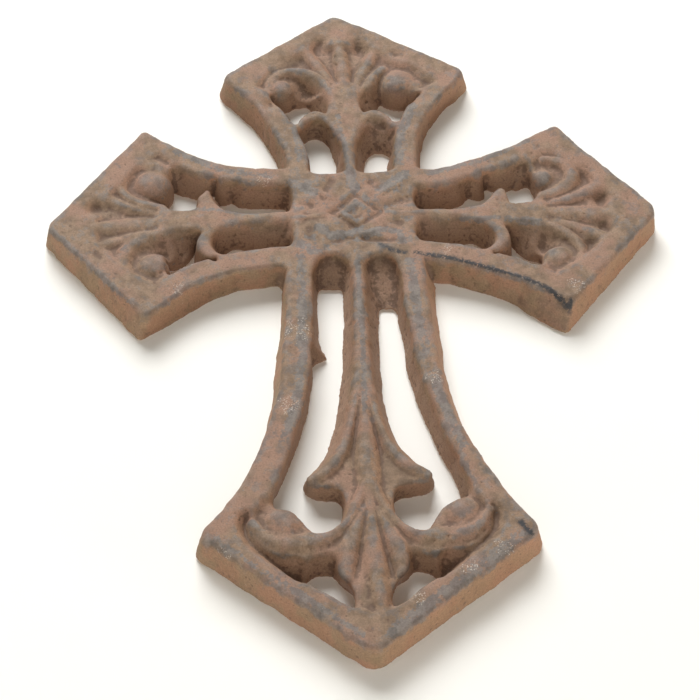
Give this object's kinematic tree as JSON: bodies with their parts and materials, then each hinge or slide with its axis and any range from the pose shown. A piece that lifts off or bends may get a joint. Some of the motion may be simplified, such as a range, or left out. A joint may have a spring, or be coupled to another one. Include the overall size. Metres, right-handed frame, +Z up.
{
  "type": "cast iron wall cross",
  "caption": "Flat-backed cast iron wall cross with flared, pointed arms, a long lower arm, openwork ribs, volutes and a small central diamond.",
  "frame": {"origin": "centre of the crossing on the flat back, where the cross lies against the wall", "axes": "+Z up towards the short top arm, +X to the viewer's right, +Y out of the flat back into the wall; the relief faces -Y"},
  "size_m": [0.1527, 0.008, 0.203],
  "materials": {
    "rusted_iron": "matt sand-cast iron with brown rust and blue-grey worn edges"
  },
  "bodies": {
    "root": {"cross": "rusted_iron"}
  },
  "joints": []
}
